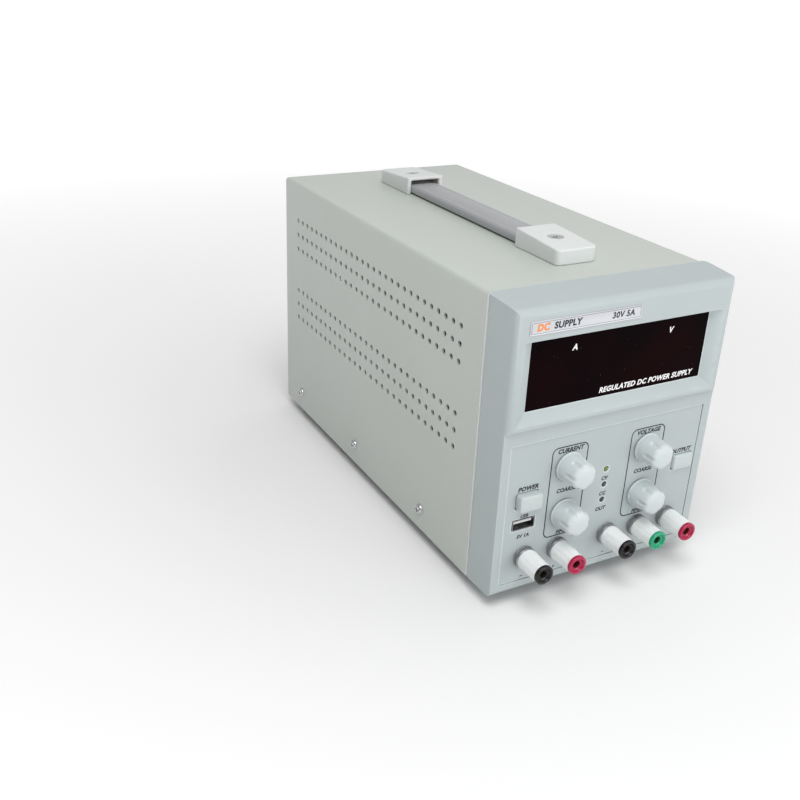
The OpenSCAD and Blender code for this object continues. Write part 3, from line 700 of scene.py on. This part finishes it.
def build_window_and_plate():
    """The acrylic pane, and the name plate with its raised border."""
    window = box("display_window")
    front = on_front(window.centre.x, window.hi.y, window.centre.z)
    depth = window.size.y
    shape = Shape().slab(window.size.x, window.size.z, 0.6 * MM, [
        (0.3 * MM, 0), (0, 0.3 * MM), (0, depth - 0.25 * MM), (0.08 * MM, depth - 0.08 * MM),
        (0.25 * MM, depth)], front)
    add_shape("window_pane", shape, "root", "window_acrylic", ["display_window"], 20)
    plate = box("name_plate")
    front = on_front(plate.centre.x, plate.hi.y, plate.centre.z)
    depth = plate.size.y
    shape = Shape().slab(plate.size.x, plate.size.z, 0.8 * MM, [
        (0, 0), (0, depth * 0.6), (0.1 * MM, depth * 0.95), (0.35 * MM, depth),
        (0.5 * MM, depth * 0.82), (0.6 * MM, depth * 0.8)], front)
    add_shape("name_plate_foil", shape, "root", "silver_label", ["name_plate"], 50)


# ---------------- knobs, buttons and posts


def knob_shape(knob):
    """A control knob: skirt lip, slightly tapered body, domed end and six scooped flutes."""
    radius, length = knob.size.x / 2 / MM, knob.size.y / MM
    flute_half, flute_depth, flute_from, flutes = 1.4, 0.65, length * 0.45, 6
    plain_radius, full_radius = 5.2 * MM, 7.0 * MM
    pitch = 2 * math.pi / flutes

    def fluted(r, h, angle):
        across = (abs((angle + pitch / 2) % pitch - pitch / 2)) * r / MM
        before = max(flute_from + flute_half - h / MM, 0)
        reach = math.hypot(across, before) / flute_half
        depth = flute_depth * MM * smoothstep(plain_radius, full_radius, r)
        return r - depth * (1 - smoothstep(0.6, 1.0, reach))

    body = [(radius - 0.5 - 0.55 * t, 1.3 + t * (length - 3.7)) for t in
            [i / 16 for i in range(17)]]
    profile = [(0.05, length - 2), (3.05, length - 2), (3.05, 4), (6.2, 4), (6.2, 0),
               (radius - 0.25, 0), (radius, 0.2), (radius, 0.75), (radius - 0.15, 0.95),
               (radius - 0.48, 1.05)] + body + [
        (radius - 1.2, length - 1.9), (radius - 1.5, length - 1.35), (radius - 2.0, length - 0.95),
        (radius - 2.9, length - 0.6), (radius - 4.4, length - 0.28), (radius - 6.2, length - 0.06),
        (0.05, length)]
    place = on_front(knob.centre.x, knob.hi.y, knob.centre.z)
    return Shape().turn(in_mm(profile), place, 144, radius=fluted)


def button_shape(button, stem_length):
    """A chunky push button: rounded sides, a softly crowned face, and its stem behind."""
    length = button.size.y - stem_length
    place = on_front(button.centre.x, button.lo.y + length, button.centre.z)
    rim = [(1.1 * MM - e, length - 1.0 * MM + z) for e, z in
           [(math.cos(a) * 1.0 * MM, math.sin(a) * 0.85 * MM) for a in
            [math.pi / 12 * i for i in range(7)]]]
    crown = [(1.9 * MM, length - 0.06 * MM), (3.0 * MM, length - 0.01 * MM), (4.0 * MM, length)]
    skirt = [(0.1 * MM, 0), (0, 0.15 * MM)]
    shape = Shape().slab(button.size.x, button.size.z, 1.5 * MM, skirt + rim + crown, place)
    shape.slab(4 * MM, 4 * MM, 0.4 * MM, [(0.2 * MM, -stem_length), (0, 0.3 * MM - stem_length),
                                          (0, 0.05 * MM)], place, 3)
    return shape


def post_cap_shape(cap):
    """A screw cap with ten narrow grip grooves, bored for the stud and the ring's spigot."""
    rear, front = cap.size.x / 2 / MM, 5.15
    length = cap.size.y / MM
    grooves, depth, floor_half, mouth_half = 10, 0.2 * MM, 0.25 * MM, 0.5 * MM
    outer_wall, groove_start, groove_end = 4.9 * MM, 1.5 * MM, length * MM - 0.2 * MM

    def grooved(r, h, angle):
        if r < outer_wall or not groove_start < h < groove_end:
            return r
        pitch = 2 * math.pi / grooves
        across = abs((angle + pitch / 2) % pitch - pitch / 2) * r
        return r - depth * (1 - smoothstep(floor_half, mouth_half, across))

    def wall(h):
        return rear + (front - rear) * (h - 0.4) / (length - 0.4)

    side = [(wall(h), h) for h in (1.0, 1.45, 1.9, 2.5, 4, 6, 8, 10, 12, 12.8)]
    profile = [(3.1, length - 3), (3.1, 0.2), (3.3, 0), (rear - 0.4, 0), (rear - 0.1, 0.12),
               (rear, 0.4)] + side + [(front, length - 0.35), (front - 0.1, length - 0.1),
                                      (front - 0.3, length), (4.3, length), (4.3, length - 3)]
    place = on_front(cap.centre.x, cap.hi.y, cap.centre.z)
    return Shape().turn(in_mm(profile), place, 120, closed=True, radius=grooved)


def post_ring_shape(ring):
    """The coloured end of a post: a rounded rim round a funnel that leads to the socket."""
    outer = ring.size.x / 2 / MM
    length = ring.size.y / MM - 2.8
    profile = [(3.25, -2.8), (4.2, -2.8), (4.2, 0), (outer - 0.15, 0), (outer, 0.15),
               (outer, length - 0.75)] + arc((outer - 0.55, length - 0.75), 0.55, 10, 90) + [
        (3.95, length), (3.75, length - 0.12), (3.55, length - 0.5), (3.3, 1.15), (2.6, 0.75),
        (2.15, 0.6), (2.08, 0.42), (3.25, 0.4)]
    place = on_front(ring.centre.x, ring.lo.y + length * MM, ring.centre.z)
    return Shape().turn(in_mm(profile), place, 64, closed=True)


def collar_shape(shape, collar):
    """A nickel collar with a straight knurl between two plain lands."""
    radius, length, teeth, tooth = collar.size.x / 2 / MM, collar.size.y / MM, 44, 0.22 * MM
    outer_wall, knurl_start, knurl_end = 5 * MM, 0.35 * MM, 2.5 * MM

    def knurled(r, h, angle):
        if r < outer_wall or not knurl_start < h < knurl_end:
            return r
        phase = (angle * teeth / (2 * math.pi)) % 1
        return r - tooth * (1 - abs(2 * phase - 1))

    profile = [(3.02, 0), (radius - 0.2, 0), (radius, 0.15), (radius, 0.34), (radius, 0.45),
               (radius, 2.4), (radius, 2.52), (radius - 0.05, 2.8), (radius - 0.4, length),
               (3.6, length), (3.02, length - 0.3)]
    place = on_front(collar.centre.x, collar.hi.y, collar.centre.z)
    shape.turn(in_mm(profile), place, teeth * 4, closed=True, radius=knurled)


def build_controls():
    """Knobs, push buttons, post caps and rings on their own bodies, and the fixed collars."""
    stem_length = 4.3 * MM
    for name in KNOBS:
        add_shape(name + "_grip", knob_shape(box(name + "_knob")), name + "_control",
                  "knob_plastic", [name + "_knob"], 50)
    for name, body in (("power_button", "power_push"), ("output_button", "output_push")):
        add_shape(name + "_cap", button_shape(box(name), stem_length), body, "white_plastic",
                  [name], 50, "button_plastic")
    for name in POSTS:
        add_shape(name + "_screw_cap", post_cap_shape(box(name + "_cap")), name + "_nut",
                  "white_plastic", [name + "_cap"], 40, "post_plastic")
        add_shape(name + "_colour_ring", post_ring_shape(box(name + "_ring")),
                  name + "_carrier", SLOTS[name + "_ring"], [name + "_ring"], 40)
    collars = Shape()
    for spot in solids("post_collars"):
        collar_shape(collars, spot)
    add_shape("knurled_collars", collars, "root", "collar_metal", ["post_collars"], 30)


def build_front_details():
    """LED lenses and the USB socket."""
    leg_profile = in_mm([(0.02, 0), (0.2, 0), (0.25, 0.05), (0.25, 6.3), (0.02, 6.3)])
    flange = [(0.03, 0), (1.85, 0), (1.9, 0.1), (1.9, 0.9), (1.8, 1), (1.5, 1.05)]
    for name, spot in zip(("led_out", "led_cc", "led_cv"), solids("indicator_leds")):
        dome = [(1.5 * math.cos(a), 4.6 + 1.4 * math.sin(a)) for a in
                [math.radians(10 * i) for i in range(10)]]
        profile = in_mm(flange + dome)
        length = profile[-1][1]
        place = on_front(spot.centre.x, spot.lo.y + length, spot.centre.z)
        shape = Shape().turn(profile, place, 40)
        for side in (-1, 1):
            leg = on_front(spot.centre.x + side * 1.27 * MM, spot.hi.y, spot.centre.z)
            shape.turn(leg_profile, leg, 12)
        finish = "led_lens_green" if name == "led_cv" else "led_lens"
        add_shape(name, shape, "root", "led_lens", ["indicator_leds"], 30, finish)
    usb = box("usb_socket")
    place = on_front(usb.centre.x, usb.hi.y, usb.centre.z)
    w, h, d = usb.size.x, usb.size.z, usb.size.y
    outline = [(0, 0.2 * MM), (0, d - 0.15 * MM), (0.12 * MM, d), (0.3 * MM, d),
               (0.42 * MM, d - 0.15 * MM), (0.42 * MM, 0.2 * MM)]
    shell = Shape().slab(w, h, 0.5 * MM, outline, place, closed=True)
    shell.slab(w - 1 * MM, h - 1 * MM, 0.3 * MM, [(0, 0.3 * MM), (0, 1 * MM)], place)
    for side in (-1, 1):
        lug = on_front(usb.centre.x + side * 2.6 * MM, usb.lo.y + 3.6 * MM, usb.lo.z + 0.42 * MM)
        shell.slab(2 * MM, 0.36 * MM, 0.1 * MM, [(0, -3 * MM), (0, 1 * MM), (0.1 * MM, 1.6 * MM)],
                   lug, 2)
    add_shape("usb_shell", shell, "root", "collar_metal", ["usb_socket"], 35)
    middle = usb.centre.z + 1.0 * MM
    place = on_front(usb.centre.x, usb.hi.y - 1 * MM, middle)
    tongue = Shape().slab(11 * MM, 1.8 * MM, 0.2 * MM, [
        (0, 0), (0, d - 2.7 * MM), (0.15 * MM, d - 2.4 * MM)], place, 3)
    add_shape("usb_tongue", tongue, "root", "white_plastic", ["usb_socket"], 35)
    contacts = Shape()
    for x in (-3.5, -1, 1, 3.5):
        strip = on_front(usb.centre.x + x * MM, usb.hi.y - 1 * MM, middle - 0.95 * MM)
        contacts.slab(1 * MM, 0.16 * MM, 0.05 * MM, [(0, 0.4 * MM), (0, d - 3 * MM)], strip, 2)
    add_shape("usb_contacts", contacts, "root", "brass", ["usb_socket"], 35)


# ---------------- handle


def build_handle():
    """The two caps with their screws, and one strap in place of the strap's two CAD parts."""
    refine("handle_caps", 0.75, 4, clamp=False)
    screws = Shape()
    head_radius, head, shank_radius = 3.8 * MM, 1.6 * MM, 2 * MM
    for spot in solids("handle_screws"):
        under_head = Vector((spot.centre.x, spot.centre.y, spot.hi.z - head))
        screw_shape(screws, facing(under_head, (0, 0, 1)), head_radius, head, shank_radius,
                    spot.size.z - head)
    add_shape("handle_screw_pair", screws, "root", "screw_steel", ["handle_screws"])
    rear, front = box("strap_rear"), box("strap_front")
    base, thick = rear.lo.z, rear.size.z / MM
    half, wide = 9.4, rear.size.x / 2 / MM
    stations = 72

    def section(y, grow):
        """One cross-section: rounded lower edges, long top bevels and two shallow ribs."""
        edge = half + grow
        right = [(edge - 0.5, 0.0), (edge - 0.12, 0.14), (edge, 0.5), (edge, thick - 1.35),
                 (edge - 0.12, thick - 1.05), (edge - 1.15, thick - 0.12),
                 (edge - 1.5, thick - 0.02), (edge - 2.0, thick), (edge - 2.6, thick),
                 (edge - 2.85, thick - 0.12), (edge - 3.1, thick - 0.12), (edge - 3.35, thick)]
        points = right + [(-x, z) for x, z in reversed(right)]
        return [(x * MM, y, base + z * MM) for x, z in points]

    end = 2 * MM
    ys = [front.lo.y + (rear.hi.y - front.lo.y) * i / stations for i in range(stations + 1)]
    ys = sorted(ys + [front.lo.y + end, front.lo.y + end * 1.05, rear.hi.y - end,
                      rear.hi.y - end * 1.05])
    rings = [section(y, wide - half if y <= front.lo.y + end or y >= rear.hi.y - end else 0)
             for y in ys]
    strap = add_shape("carrying_strap", Shape().skin(rings), None, "strap_vinyl",
                      ["strap_rear", "strap_front"], 32)
    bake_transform(strap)


# ---------------- back and inside


def build_fan():
    """Seven twisted, cambered blades on a cup-shaped hub."""
    blades, thick, root, span, depth = 7, 1.5, 15.5, 20.4, 19.7 * MM / 2
    stations, outline = 12, 20
    fan = box("fan_rotor")
    centre = fan.centre
    shape = Shape()
    axis = facing((centre.x, fan.lo.y, centre.z), (0, 1, 0))
    cup = in_mm([(0.05, 0), (14.6, 0), (15.6, 0.4), (16, 1.4), (16, 19.5), (15.8, 19.7),
                 (14.2, 19.7), (14, 19.5), (14, 2.4), (13.4, 2), (1.5, 2), (1.5, 21.5),
                 (0.05, 21.5)])
    shape.turn(cup, axis, 72)
    for blade in range(blades):
        spin = Matrix.Rotation(2 * math.pi * blade / blades, 4, "Z")
        rings = []
        for i in range(stations + 1):
            t = i / stations
            r = (root + span * t) * MM
            chord = (16 + 4.5 * math.sin(math.pi * min(t * 0.8, 1))) * MM
            chord *= 1 - 0.12 * smoothstep(0.85, 1, t)
            pitch = math.radians(47 - 13 * t)
            ring = []
            for j in range(outline):
                a = 2 * math.pi * j / outline
                u = math.cos(a) / 2
                across = math.sin(a) * thick / 2 * MM * (1 - 0.35 * t)
                camber = (0.25 - u * u) * 7 * MM
                sweep = u * chord + 2 * MM * t
                side = sweep * math.cos(pitch) - (across + camber) * math.sin(pitch)
                along = sweep * math.sin(pitch) + (across + camber) * math.cos(pitch)
                ring.append((r * math.cos(side / r), r * math.sin(side / r), depth + along * 0.9))
            rings.append(ring)
        shape.skin(rings, axis @ spin)
    add_shape("fan_wheel_blades", shape, "fan_wheel", "black_plastic", ["fan_rotor"], 40)
    refine("fan_frame", 0.6, 3)


def build_inside():
    """Softened copies of the boxy inner parts, and finishes on the CAD nodes that stay."""
    for node, width in (("mains_inlet", 0.35), ("inlet_pins", 0.35), ("fuse_drawer", 0.3),
                        ("transformer_core", 0.3), ("transformer_coil", 1.2),
                        ("transformer_strap", 0.3), ("main_board", 0.15), ("front_board", 0.15),
                        ("bridge_rectifier", 0.6), ("heat_sink", 0.3), ("power_transistors", 0.3),
                        ("filter_capacitors", 0.8), ("digit_modules", 0.3), ("potentiometers", 0.3),
                        ("push_switches", 0.3), ("potentiometer_nuts", 0.2), ("post_nuts", 0.3),
                        ("transformer_bolts", 0.3), ("board_spacers", 0.3)):
        refine(node, width)
    for name, node in frame["nodes"].items():
        if not node.hide_render:
            finish = FINISHES[SLOTS[name]].material
            for slot in node.material_slots:
                slot.material = finish
    for slot in frame["nodes"]["post_studs"].material_slots:
        slot.material = FINISHES["threaded_brass"].material


# ---------------- printing
INK = 0.03 * MM
CAPITAL = 0.73


def print_text(bm, text, x, y, z, size, bold=0.07, slant=0.22):
    """Adds raised letters; size is a capital's height, CAPITAL of the font's own size."""
    curve = bpy.data.curves.new("lettering", "FONT")
    curve.body = text
    curve.size = size / CAPITAL
    curve.offset = bold * size
    curve.shear = slant
    curve.extrude = INK / 2
    curve.resolution_u = 3
    curve.space_character = 1.06
    curve.align_x = "CENTER"
    curve.align_y = "CENTER"
    holder = bpy.data.objects.new("lettering", curve)
    bpy.context.scene.collection.objects.link(holder)
    bpy.context.view_layer.update()
    mesh = bpy.data.meshes.new_from_object(holder.evaluated_get(
        bpy.context.evaluated_depsgraph_get()))
    mesh.transform(on_front(x, y, z))
    bm.from_mesh(mesh)
    bpy.data.objects.remove(holder)
    bpy.data.meshes.remove(mesh)
    bpy.data.curves.remove(curve)


def print_frame(bm, centre_x, y, low, high, width, corner, line):
    """Adds a raised outline of a rounded rectangle."""
    place = on_front(centre_x, y, (low + high) / 2)
    shape = Shape().slab(width, high - low, corner, [
        (0, -INK / 2), (0, INK / 2), (line, INK / 2), (line, -INK / 2)], place, closed=True)
    add_to(bm, shape)


def print_bar(bm, x, y, z, width, height):
    """Adds one stroke of a sign."""
    add_to(bm, Shape().slab(width, height, 0.1 * MM, [(0, -INK / 2), (0, INK / 2)],
                            on_front(x, y, z), 2))


def add_to(bm, shape):
    """Copies a Shape into a bmesh."""
    mesh = bpy.data.meshes.new("print")
    mesh.from_pydata(shape.vertices, [], shape.faces)
    bm.from_mesh(mesh)
    bpy.data.meshes.remove(mesh)


def finish_print(name, bm, finish, slot):
    """Makes one piece of all the strokes gathered in bm."""
    mesh = bpy.data.meshes.new(name)
    bm.to_mesh(mesh)
    bm.free()
    tidy_mesh(mesh, 30)
    add_piece(name, mesh, "root", slot, finish=finish)


def build_printing():
    """The panel's frames, words and signs, the window's words, and the name plate's."""
    y = box("control_panel").lo.y
    panel = bmesh.new()
    for group, label in (("current", "CURRENT"), ("voltage", "VOLTAGE")):
        coarse, fine = box(group + "_coarse_knob").centre, box(group + "_fine_knob").centre
        print_frame(panel, coarse.x, y, fine.z - 13.2 * MM, coarse.z + 11.6 * MM, 22 * MM,
                    3.6 * MM, 0.65 * MM)
        print_text(panel, label, coarse.x, y, coarse.z + 9.0 * MM, 2.4 * MM)
        print_text(panel, "COARSE", coarse.x, y, (coarse.z + fine.z) / 2 - 0.2 * MM, 2.2 * MM)
        print_text(panel, "FINE", fine.x, y, fine.z - 11.3 * MM, 2.2 * MM)
    for node, label, aside in (("power_button", "POWER", 0), ("output_button", "OUTPUT", 1.7)):
        spot = box(node)
        print_text(panel, label, spot.centre.x - aside * MM, y, spot.hi.z + 2.0 * MM, 2.4 * MM)
    for spot, label in zip(solids("indicator_leds"), ("OUT", "CC", "CV")):
        print_text(panel, label, spot.centre.x - 0.6 * MM, y, spot.centre.z - 5.3 * MM, 2.1 * MM)
    usb = box("usb_socket")
    print_text(panel, "USB", usb.centre.x, y, usb.hi.z + 1.5 * MM, 1.9 * MM)
    print_text(panel, "5V 1A", usb.centre.x + 0.3 * MM, y, usb.lo.z - 4.2 * MM, 2.0 * MM)
    for name in POSTS:
        post = box(name + "_ring").centre
        mark = post.z - 12 * MM
        print_bar(panel, post.x, y, mark, 1.7 * MM, 0.45 * MM)
        if name.endswith("positive"):
            print_bar(panel, post.x, y - INK / 4, mark, 0.45 * MM, 1.7 * MM)
        if name == "ground":
            print_bar(panel, post.x, y, mark - 0.75 * MM, 1.0 * MM, 0.4 * MM)
            print_bar(panel, post.x, y, mark + 1.1 * MM, 0.4 * MM, 1.7 * MM)
    finish_print("panel_printing", panel, "dark_ink", "bezel_plastic")

    window = box("display_window")
    letters = bmesh.new()
    y = window.lo.y
    for unit, x in (("A", -28.4), ("V", 29.6)):
        print_text(letters, unit, window.centre.x + x * MM, y, window.centre.z + 11.0 * MM,
                   3.0 * MM, 0.05)
    print_text(letters, "REGULATED DC POWER SUPPLY", window.centre.x + 18.8 * MM, y,
               window.centre.z - 14.3 * MM, 2.8 * MM, 0.05)
    finish_print("window_printing", letters, "white_ink", "window_acrylic")

    plate = box("name_plate")
    y = plate.lo.y + plate.size.y * 0.2
    dark, orange = bmesh.new(), bmesh.new()
    print_frame(dark, plate.centre.x, y, plate.lo.z + 0.75 * MM, plate.hi.z - 0.75 * MM,
                plate.size.x - 1.5 * MM, 0.4 * MM, 0.16 * MM)
    print_text(orange, "DC", plate.lo.x + 7 * MM, y, plate.centre.z, 3.3 * MM, 0.07, 0.1)
    print_text(dark, "SUPPLY", plate.lo.x + 20.5 * MM, y, plate.centre.z, 3.2 * MM, 0.06, 0.1)
    print_text(dark, "30V 5A", plate.hi.x - 11 * MM, y, plate.centre.z, 3.0 * MM, 0.05, 0.1)
    finish_print("plate_printing_dark", dark, "dark_ink", "silver_label")
    finish_print("plate_printing_orange", orange, "orange_ink", "silver_label")


# ---------------- stage, light and camera


def soft_light(name, place, target, size, watts):
    """A round area light that looks at the target."""
    light = bpy.data.lights.new(name, "AREA")
    light.shape = "DISK"
    light.size = size
    light.energy = watts
    lamp = bpy.data.objects.new(name, light)
    bpy.context.scene.collection.objects.link(lamp)
    lamp.location = place
    lamp.rotation_mode = "QUATERNION"
    lamp.rotation_quaternion = (Vector(target) - Vector(place)).to_track_quat("-Z", "Y")


def build_stage():
    """A white studio whose light is dimmer from the left, a pale floor and two soft lights."""
    from_left, from_right = 0.22, 0.86
    glow_start, glow_end, glow_strength = 0.15, 1.1, 0.54
    scene = bpy.context.scene
    scene.view_settings.view_transform = "Standard"
    world = bpy.data.worlds.new("studio")
    scene.world = world
    world.use_nodes = True
    sky = world.node_tree
    direction = add_node(sky, "TexCoord").outputs["Generated"]
    sideways = add_node(sky, "SeparateXYZ", {0: direction}).outputs["X"]
    level = add_node(sky, "MapRange", {"Value": sideways, "From Min": -1, "To Min": from_left,
                                       "To Max": from_right}).outputs["Result"]
    by_camera = add_node(sky, "LightPath").outputs["Is Camera Ray"]
    seen = add_node(sky, "Mix", {"Factor": by_camera, "A": level, "B": 1.0}).outputs["Result"]
    background = sky.nodes["Background"]
    background.inputs["Color"].default_value = (1, 1, 1, 1)
    sky.links.new(seen, background.inputs["Strength"])

    half = 6.0
    mesh = bpy.data.meshes.new("floor")
    mesh.from_pydata([(-half, -half, 0), (half, -half, 0), (half, half, 0), (-half, half, 0)], [],
                     [(0, 1, 2, 3)])
    floor = bpy.data.objects.new("floor", mesh)
    scene.collection.objects.link(floor)
    paper = Finish((0.88, 0.88, 0.88), 0.7)
    paper.gloss(paper.noise(40, 2), 0.1)
    away = paper.node("VectorMath", {0: paper.place}, operation="LENGTH").outputs["Value"]
    glow = paper.ramp(away, glow_start, glow_end, 0.0, glow_strength)
    paper.shader.inputs["Emission Color"].default_value = (1, 1, 1, 1)
    paper.tree.links.new(glow, paper.shader.inputs["Emission Strength"])
    mesh.materials.append(paper.material)

    middle = (0, 0, 0.08)
    soft_light("key_light", (-0.3, -0.42, 1.0), middle, 0.7, 6.4)
    soft_light("front_fill", (0.5, -1.3, 0.22), middle, 0.6, 4.3)


def build_camera():
    """The camera at the photo's angle: front left, above, and slightly rolled."""
    azimuth, elevation, roll = (math.radians(a) for a in (-29.12, 25.34, 2.48))
    place, focal_length = (-0.3033, -0.4522, 0.3055), 44.27
    back = Vector((math.sin(azimuth) * math.cos(elevation),
                   -math.cos(azimuth) * math.cos(elevation), math.sin(elevation)))
    across = Vector((math.cos(azimuth), math.sin(azimuth), 0))
    up = back.cross(across)
    right = math.cos(roll) * across + math.sin(roll) * up
    turned_up = math.cos(roll) * up - math.sin(roll) * across
    data = bpy.data.cameras.new("camera")
    data.lens = focal_length
    data.clip_start = 0.01
    camera = bpy.data.objects.new("camera", data)
    bpy.context.scene.collection.objects.link(camera)
    turned = Matrix((right, turned_up, back)).transposed().to_4x4()
    camera.matrix_world = Matrix.Translation(place) @ turned
    bpy.context.scene.camera = camera


build_case()
build_window_and_plate()
build_controls()
build_front_details()
build_handle()
build_fan()
build_inside()
build_printing()
build_stage()
build_camera()

bpy.context.view_layer.update()
